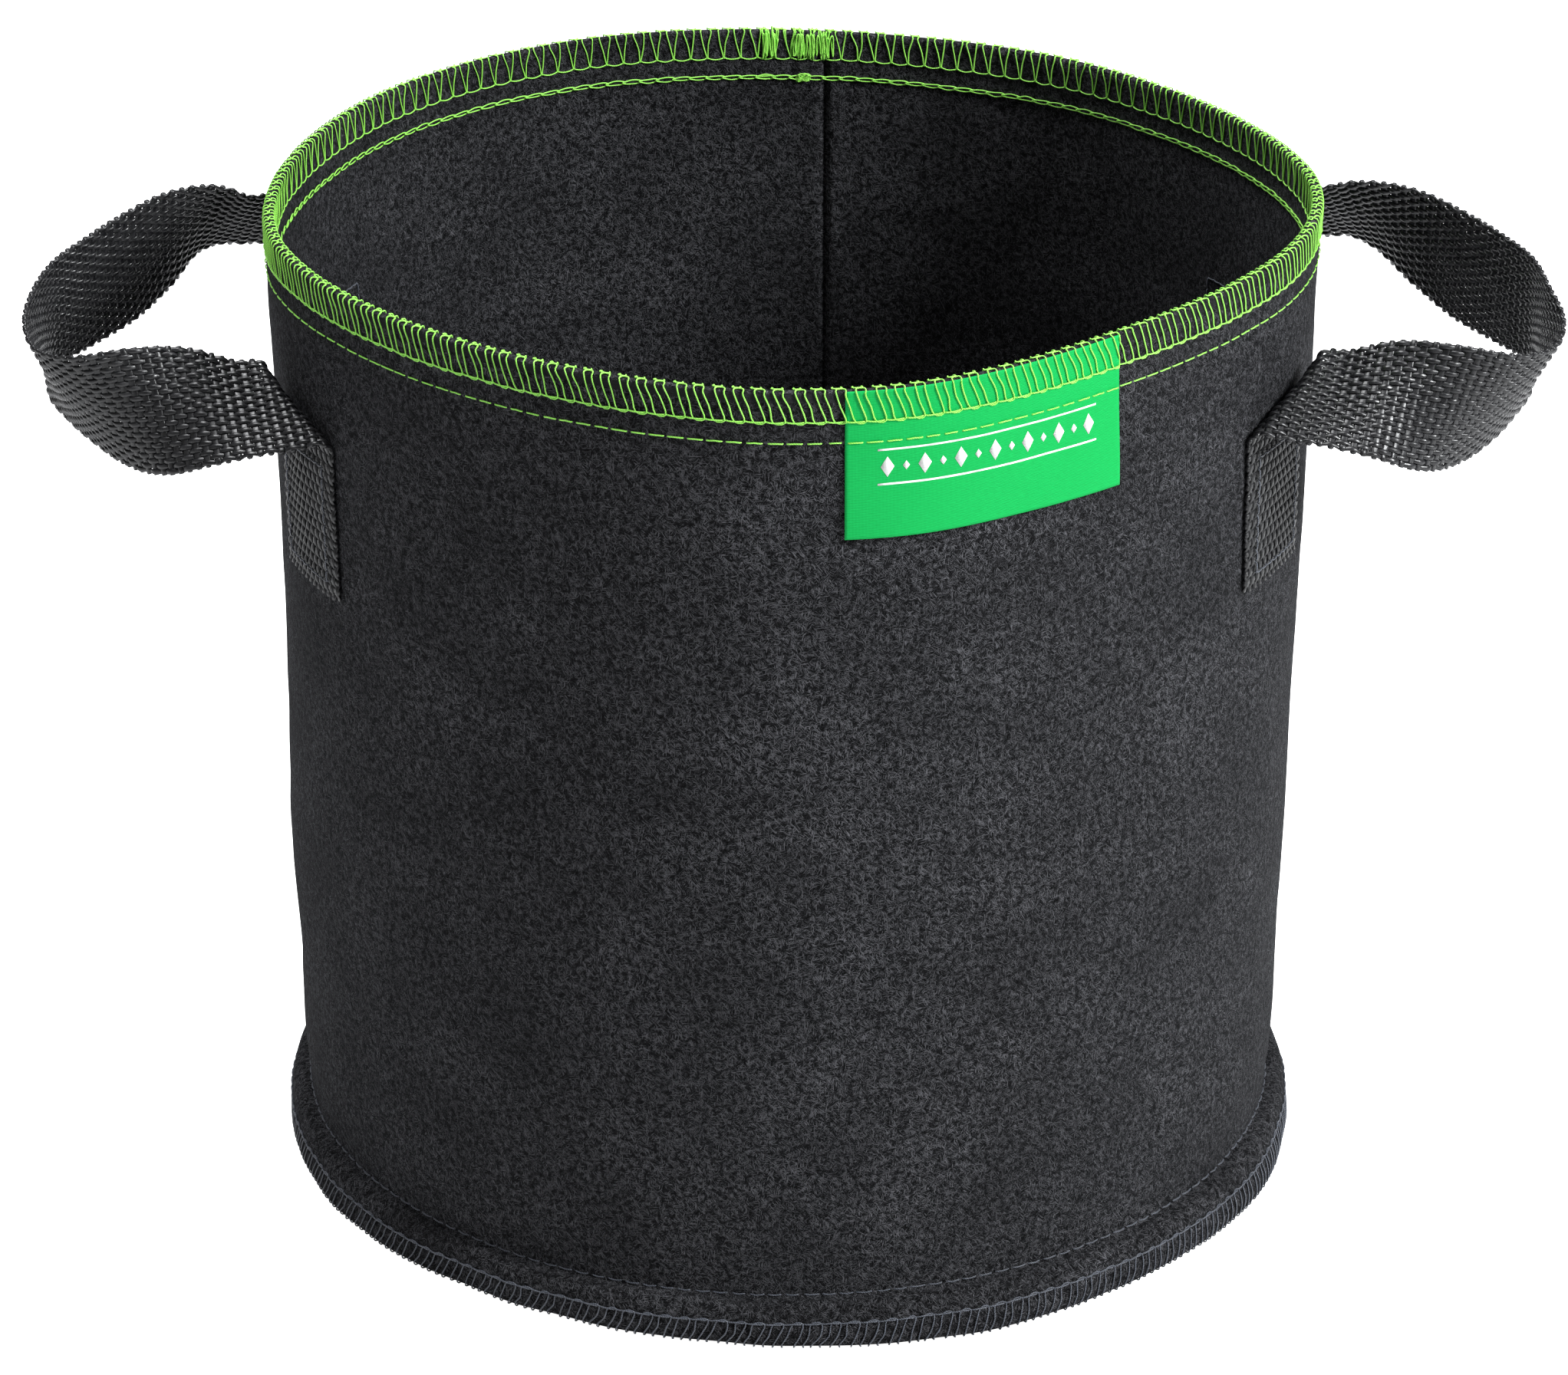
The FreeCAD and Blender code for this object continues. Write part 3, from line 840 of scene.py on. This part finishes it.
class Strap:
    """The surface a handle's webbing follows: sewn end, fold, free loop, fold, sewn end."""

    def __init__(self, side, stations):
        self.side = side
        self.mirror = np.array([-side, 1.0, 1.0])
        start = FRONT_FOLD[-1]
        finish = REAR_FOLD[-1]
        rows = [self.folded_row(-1, s) for s in (start - 4.5, start)]
        rows += [(np.array(c), -unit(np.array(a))) for c, a in stations]
        rows += [self.folded_row(1, s) for s in (finish, finish - 6, finish - 12)]
        centres = np.array([r[0] for r in rows])
        self.centre, self.across, self.table = drawn_through(centres, np.array([r[1] for r in rows]))
        self.table = self.table + start - 4.5
        self.length = self.table[-1] + finish - 12

    def sewn_points(self, end, v, z, off):
        """On a sewn end, mirrored to the left side: end is -1 at the front and 1 at the rear."""
        angle = PATCH_ANGLE + degrees_along(v)
        theta = end * angle if self.side > 0 else 180 - end * angle
        return wall_point(theta, z, off) * self.mirror

    def folded(self, end, v, s):
        """The webbing from its sewn end to just past its fold; s runs up from the end."""
        slant, full_turn, arc, stand_off, _ = FRONT_FOLD if end < 0 else REAR_FOLD
        past = (s - FOLD_HEIGHT) * math.cos(slant) + (v - WEBBING_WIDTH / 2) * math.sin(slant)
        past = np.maximum(past, 0)
        foot_v = v - past * math.sin(slant)
        foot_s = s - past * math.cos(slant)
        lift = stand_off * smooth((foot_s - FOLD_HEIGHT) / 17.0)
        point = self.sewn_points(end, foot_v, PATCH_BOTTOM + foot_s, CLOTH_GAP + WEBBING / 2 + lift)
        angle = np.radians(PATCH_ANGLE + degrees_along(foot_v))
        outward = np.stack([-np.cos(angle), end * np.sin(angle), 0 * angle], -1)
        sideways = np.stack([np.sin(angle), end * np.cos(angle), 0 * angle], -1)
        away = sideways * math.sin(slant) + np.array([0, 0, math.cos(slant)])
        radius = arc / full_turn
        turn = np.minimum(past / radius, full_turn)[..., None]
        straight = np.maximum(past - arc, 0)[..., None]
        point = point + away * (radius * np.sin(turn) + straight * math.cos(full_turn))
        return point + outward * (radius * (1 - np.cos(turn)) + straight * math.sin(full_turn))

    def folded_row(self, end, s):
        edges = self.folded(end, np.array([-1.0, 1.0]), np.array([s, s]))
        return edges.mean(0), unit(edges[1] - edges[0])

    def middle(self, s, v):
        """The webbing's middle surface, on the left side."""
        centre, across = [np.stack([np.interp(s, self.table, column) for column in rows.T], -1)
                          for rows in (self.centre, self.across)]
        free = centre + unit(across) * v[..., None]
        to_end = self.length - s
        front = self.folded(-1, v, np.minimum(s, FRONT_FOLD[-1] + 2))
        rear = self.folded(1, v, np.minimum(to_end, REAR_FOLD[-1] + 2))
        at_front = smooth((FRONT_FOLD[-1] - s) / 6)[..., None]
        at_rear = smooth((REAR_FOLD[-1] - to_end) / 6)[..., None]
        return free * (1 - at_front - at_rear) + front * at_front + rear * at_rear

    def at(self, s, v, h):
        """Points and outward directions s along, v across and h off the webbing's middle."""
        s, v, h = [np.asarray(a, float) for a in np.broadcast_arrays(s, v, h)]
        point = self.middle(s, v)
        along = self.middle(s + 0.6, v) - self.middle(s - 0.6, v)
        across = self.middle(s, v + 0.6) - self.middle(s, v - 0.6)
        normal = unit(np.cross(across, along))
        point = point + normal * h[..., None]
        return point * self.mirror, normal * self.mirror


def webbing(name, strap, material):
    """A strap woven of flat yarns: warps run along it and pass over and under each weft."""
    tubes = Tubes()
    draw = np.random.default_rng(31)
    picks = int(round(strap.length / PICK))
    pick = strap.length / picks
    s = np.linspace(0, strap.length, picks * 4 + 1)
    gap = WEBBING_WIDTH / WARPS
    for i in range(WARPS):
        v = (i + 0.5 - WARPS / 2) * gap
        wander = 0.05 * lattice_noise(s, 0 * s + i * 7.3, 3.0, 41)
        h = WARP_SWING * np.cos(np.pi * (s / pick + i)) + draw.normal(0, 0.015)
        path, normal = strap.at(s, v + wander, h)
        tubes.thread(path, *WARP_SIZE, normal)
    v = np.linspace(-WEBBING_WIDTH / 2 - 0.25, WEBBING_WIDTH / 2 + 0.25, WARPS + 3)
    edge = smooth((np.abs(v) - WEBBING_WIDTH / 2 + 1.5) / 1.5)
    for j in range(1, picks):
        swing = WEFT_SWING * np.cos(np.pi * (j + 1 + np.arange(WARPS + 3)))
        skew = draw.normal(0, 0.08) + 0.25 * np.sin(j * 0.11)
        path, normal = strap.at(j * pick + skew * v / 15.0, v, swing * (1 - edge))
        tubes.thread(path, WEFT_SIZE[0] - 0.3 * edge, WEFT_SIZE[1] + 0.28 * edge, normal)
    return tubes.piece(name, material)


def tack_stitches(strap, end, inside):
    """A lockstitched rectangle through a sewn end, as separate short stitches."""
    tubes = Tubes()
    wide = WEBBING_WIDTH / 2 - TACK_INSET
    low = PATCH_BOTTOM + TACK_INSET
    high = PATCH_TOP - TACK_INSET
    corners = [(-wide, low), (wide, low), (wide, high), (-wide, high), (-wide, low)]
    face = -FELT - 0.25 if inside else CLOTH_GAP + WEBBING + 0.1
    sink = 0.3 if inside else -0.5
    for (v0, z0), (v1, z1) in zip(corners, corners[1:]):
        run = math.hypot(v1 - v0, z1 - z0)
        count = int(round(run / TACK_STITCH))
        for k in range(count):
            a = np.array([0.06, 0.16, 0.5, 0.84, 0.94])
            t = (k + a) / count
            off = face + sink * np.array([1, 0.25, 0, 0.25, 1]) + (0 if inside else 0.15)
            v = v0 + (v1 - v0) * t
            z = z0 + (z1 - z0) * t
            points = strap.sewn_points(end, v, z, off) * strap.mirror
            tubes.thread(flowing(points, 3), THREAD_RADIUS)
    return tubes


def handles(webbing_look, thread_look):
    for side, word, stations in ((-1, "left", LEFT_LOOP), (1, "right", RIGHT_LOOP)):
        strap = Strap(side, stations)
        piece = webbing(word + "_handle_webbing", strap, webbing_look[0])
        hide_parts(word + "_handle_loop", word + "_front_webbing_end", word + "_rear_webbing_end")
        end = (side * 0.149, 0, 0.212)
        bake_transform(piece)
        for end, place in ((-1, "front"), (1, "rear")):
            for inside, kind in ((False, "needle"), (True, "bobbin")):
                name = "_".join((word, place, "tack", kind))
                tack = tack_stitches(strap, end, inside).piece(name + "_stitches", thread_look[0])
                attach(tack, "root")
                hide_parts(name + "_thread")


# ---- materials
class Look:
    """Builds one node material; sockets are linked or set by name."""

    def __init__(self, name):
        self.material = bpy.data.materials.new(name)
        self.material.use_nodes = True
        self.tree = self.material.node_tree
        self.shader = self.tree.nodes["Principled BSDF"]

    def node(self, kind, sockets=None, **settings):
        node = self.tree.nodes.new("ShaderNode" + kind)
        for key, value in settings.items():
            setattr(node, key, value)
        for key, value in (sockets or {}).items():
            self.put(node.inputs[key], value)
        return node

    def put(self, socket, value):
        if isinstance(value, bpy.types.NodeSocket):
            self.tree.links.new(value, socket)
        else:
            socket.default_value = value

    def set(self, **sockets):
        for key, value in sockets.items():
            self.put(self.shader.inputs[key.replace("_", " ")], value)

    def math(self, operation, a, b=0.0):
        return self.node("Math", {0: a, 1: b}, operation=operation).outputs[0]

    def scaled(self, vector, factors):
        return self.node("VectorMath", {0: vector, 1: factors}, operation="MULTIPLY").outputs[0]

    def ramp(self, value, low, high, out_low=0.0, out_high=1.0):
        sockets = {"Value": value, "From Min": low, "From Max": high, "To Min": out_low, "To Max": out_high}
        return self.node("MapRange", sockets).outputs["Result"]

    def cloth_mm(self):
        """The place on the flat cloth, in millimetres."""
        place = self.node("Attribute", attribute_name="cloth", attribute_type="GEOMETRY").outputs["Vector"]
        return self.scaled(place, (1000.0, 1000.0, 1000.0))

    def stretched_noise(self, place, turn, long, short, detail=1.0, shift=0.0):
        """Noise in streaks long by short millimetres, turned by degrees on the cloth."""
        turned = self.node("Mapping", {
            "Vector": place,
            "Location": (shift, shift * 0.7, shift * 1.3),
            "Rotation": (0.0, 0.0, math.radians(turn)),
        }, vector_type="POINT").outputs[0]
        streaks = self.scaled(turned, (1 / long, 1 / short, 1.0))
        sockets = {"Vector": streaks, "Scale": 1.0, "Detail": detail, "Roughness": 0.5}
        return self.node("TexNoise", sockets).outputs["Fac"]

    def mixed(self, share, a, b):
        node = self.node("Mix", data_type="RGBA")
        self.put(node.inputs["Factor"], share)
        self.put(node.inputs["A"], a)
        self.put(node.inputs["B"], b)
        return node.outputs["Result"]

    def bump(self, height, distance, strength=1.0):
        sockets = {"Height": height, "Distance": distance, "Strength": strength}
        self.put(self.shader.inputs["Normal"], self.node("Bump", sockets).outputs[0])


def felt_look():
    """Needle-punched felt: short pale fibres lying every way on a charcoal ground, with painted shade in the
    hollows of its grain.
    """
    look = Look("charcoal_felt")
    place = look.cloth_mm()
    fibres = None
    for turn, long, short, shift in FELT_FIBRES:
        streak = look.stretched_noise(place, turn, long, short, 1.0, shift)
        patch = look.stretched_noise(place, turn + 40, 1.9, 1.4, 0.0, shift + 3)
        lit = look.math("MULTIPLY", look.ramp(streak, 0.56, 0.67), look.ramp(patch, 0.44, 0.58))
        fibres = lit if fibres is None else look.math("MAXIMUM", fibres, lit)
    grain = look.stretched_noise(place, 20, 0.50, 0.34, 1.0, 9.0)
    cloudy = look.stretched_noise(place, 0, 26.0, 18.0, 2.0, 5.0)
    # painted shade: the ground's tone follows its grain and is darkest in the hollows, where the bump is
    # lowest
    painted_hollow_shade = look.ramp(grain, 0.36, 0.64)
    ground = look.mixed(painted_hollow_shade, (0.0006, 0.0006, 0.0008, 1), (0.0085, 0.0085, 0.0094, 1))
    strength = look.math("MULTIPLY", fibres, look.ramp(cloudy, 0.3, 0.7, 0.55, 1.0))
    look.set(Base_Color=look.mixed(strength, ground, (0.120, 0.120, 0.131, 1)))
    look.set(Roughness=0.9, Specular_IOR_Level=0.08,
             Sheen_Weight=0.03, Sheen_Roughness=0.45, Sheen_Tint=(0.75, 0.78, 0.85, 1))
    height = look.math("ADD", look.math("MULTIPLY", fibres, 0.7), grain)
    look.bump(height, 0.0004, 0.9)
    return look.material


# Streak directions in degrees, lengths and widths in mm, and shifts that keep them apart.
FELT_FIBRES = (
    (-32, 1.9, 0.20, 0.0),
    (-55, 1.6, 0.19, 11.0),
    (8, 1.8, 0.20, 23.0),
    (48, 1.3, 0.19, 37.0),
    (85, 1.4, 0.20, 51.0),
)


def yarn_look(name, dark, light, roughness, sheen=0.0, twist=0.9):
    """Yarn or thread: fine filaments that wind along it; its own colour is painted darker as shade in the
    grooves and lighter as a highlight on the ridges.
    """
    look = Look(name)
    place = look.cloth_mm()
    split = look.node("SeparateXYZ", {0: place})
    along = split.outputs["X"]
    around = look.math("MULTIPLY", split.outputs["Y"], 0.001)
    wound = look.math("ADD", look.math("MULTIPLY", along, twist), around)
    ply = look.math("SINE", look.math("MULTIPLY", wound, 2 * math.pi * 2))
    joined = look.node("CombineXYZ", {"X": look.math("MULTIPLY", along, 0.35),
                                      "Y": look.math("MULTIPLY", wound, 9.0),
                                      "Z": split.outputs["Z"]})
    sockets = {"Vector": joined.outputs[0], "Scale": 1.0, "Detail": 1.0}
    filaments = look.node("TexNoise", sockets).outputs["Fac"]
    ridge_height_and_highlight = look.math("ADD", look.math("MULTIPLY", ply, 0.25), filaments)
    # painted shade and highlight: dark in the ply's grooves and light on its ridges, from the same height as
    # the bump
    look.set(Base_Color=look.mixed(look.ramp(ridge_height_and_highlight, 0.2, 0.9), dark, light))
    look.set(Roughness=look.ramp(filaments, 0.3, 0.7, roughness - 0.08, roughness + 0.1))
    look.set(Sheen_Weight=sheen, Sheen_Roughness=0.4)
    look.bump(ridge_height_and_highlight, 0.00006, 0.9)
    return look.material


def label_look(name, dark, light):
    """Woven satin: fine ribs of weft crossed by finer warp."""
    look = Look(name)
    place = look.cloth_mm()
    split = look.node("SeparateXYZ", {0: place})
    rib = look.math("SINE", look.math("MULTIPLY", split.outputs["Y"], 2 * math.pi / 0.34))
    cross = look.math("SINE", look.math("MULTIPLY", split.outputs["X"], 2 * math.pi / 0.22))
    grain = look.stretched_noise(place, 0, 1.6, 0.3, 1.0)
    weave = look.math("ADD", look.math("MULTIPLY", rib, 0.5), look.math("MULTIPLY", cross, 0.3))
    weave = look.math("ADD", weave, grain)
    look.set(Base_Color=look.mixed(look.ramp(weave, -0.3, 1.3), dark, light))
    look.set(Roughness=0.6, Specular_IOR_Level=0.08)
    look.bump(weave, 0.00005, 0.7)
    return look.material


def floor_look():
    look = Look("pale_floor")
    place = look.node("TexCoord").outputs["Object"]
    noise = look.node("TexNoise", {"Vector": place, "Scale": 60.0, "Detail": 3.0}).outputs["Fac"]
    look.set(Base_Color=look.mixed(noise, (0.83, 0.83, 0.83, 1), (0.87, 0.87, 0.87, 1)))
    seen = look.node("LightPath").outputs["Is Camera Ray"]
    look.set(Roughness=0.9, Emission_Color=(1, 1, 1, 1), Emission_Strength=seen)
    return look.material


# ---- stage, lights and camera
SENSOR_WIDTH = 36.0
LENS = 127.44
CAMERA_PLACE = (-0.02575, -1.2491, 0.6915)      # metres, fitted to the photograph's view
CAMERA_TURN = (65.14, 0.0, -1.135)              # degrees
SKY_LIGHT = 0.17            # for all but the camera, which sees white


def studio():
    bpy.ops.mesh.primitive_plane_add(size=12.0, location=(0, 0, 0))
    floor = bpy.context.object
    floor.name = "studio_floor"
    floor.data.materials.append(floor_look())
    world = bpy.context.scene.world or bpy.data.worlds.new("studio")
    bpy.context.scene.world = world
    world.use_nodes = True
    tree = world.node_tree
    sky = tree.nodes["Background"]
    sky.inputs["Color"].default_value = (1.0, 1.0, 1.0, 1)
    seen = tree.nodes.new("ShaderNodeLightPath").outputs["Is Camera Ray"]
    strength = tree.nodes.new("ShaderNodeMapRange")
    strength.inputs["To Min"].default_value = SKY_LIGHT
    strength.inputs["To Max"].default_value = 1.0
    tree.links.new(seen, strength.inputs["Value"])
    tree.links.new(strength.outputs["Result"], sky.inputs["Strength"])
    soft_light("key", (1.4, -0.72, 1.25), 0.7, 56.0, (0.97, 0.99, 1.0))
    soft_light("top", (-0.3, 0.3, 1.9), 1.2, 42.0, (0.97, 0.98, 1.0))
    soft_light("fill", (-1.5, -0.9, 0.8), 1.0, 0.6, (1.0, 0.96, 0.92))


def soft_light(name, place, size, power, colour):
    data = bpy.data.lights.new(name, "AREA")
    data.shape = "DISK"
    data.size = size
    data.energy = power
    data.color = colour
    light = bpy.data.objects.new(name, data)
    light.location = place
    towards = np.array([0.0, 0.0, 0.13]) - np.array(place)
    yaw = math.atan2(towards[0], -towards[1])
    tilt = math.atan2(math.hypot(towards[0], towards[1]), -towards[2])
    light.rotation_euler = (tilt, 0, yaw + math.pi)
    bpy.context.scene.collection.objects.link(light)


def photograph_camera():
    data = bpy.data.cameras.new("camera")
    data.sensor_width = SENSOR_WIDTH
    data.lens = LENS
    camera = bpy.data.objects.new("camera", data)
    camera.location = CAMERA_PLACE
    camera.rotation_euler = [math.radians(a) for a in CAMERA_TURN]
    bpy.context.scene.collection.objects.link(camera)
    bpy.context.scene.camera = camera
    bpy.context.scene.view_settings.view_transform = "Standard"


# ---- the bag
photograph_camera()
studio()

felt = felt_look()
# lime thread: the pale light colour is a painted highlight and the deep dark one painted shade
lime_thread = yarn_look("lime_thread", (0.14, 0.62, 0.03, 1), (0.55, 1.0, 0.20, 1), 0.45, 0.1)
# black thread: its blue-grey light colour is a painted sheen on black
black_thread = yarn_look("black_thread", (0.012, 0.014, 0.018, 1), (0.14, 0.155, 0.195, 1), 0.34, 0.2)
black_webbing = yarn_look("black_webbing", (0.006, 0.006, 0.007, 1), (0.022, 0.022, 0.024, 1),
                          0.34, 0.0, 0.05)
green_label = label_look("green_label", (0.004, 0.30, 0.058, 1), (0.008, 0.46, 0.098, 1))
white_yarn = label_look("white_yarn", (0.72, 0.74, 0.72, 1), (0.9, 0.9, 0.88, 1))

wall = wall_felt(felt)
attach(wall, "root")
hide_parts("wall_panel")

base = base_felt(felt)
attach(base, "root")
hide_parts("base_panel")

label = woven_label(green_label)
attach(label, "root")
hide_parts("woven_label")
pattern = label_pattern(white_yarn)
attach(pattern, "root")

rim_seam((lime_thread, "rim_thread"))
thread_tangles((lime_thread, "rim_thread"))
base_seam((black_thread, "black_thread"))
back_seam((black_thread, "black_thread"))
handles((black_webbing, "webbing"), (black_thread, "black_thread"))
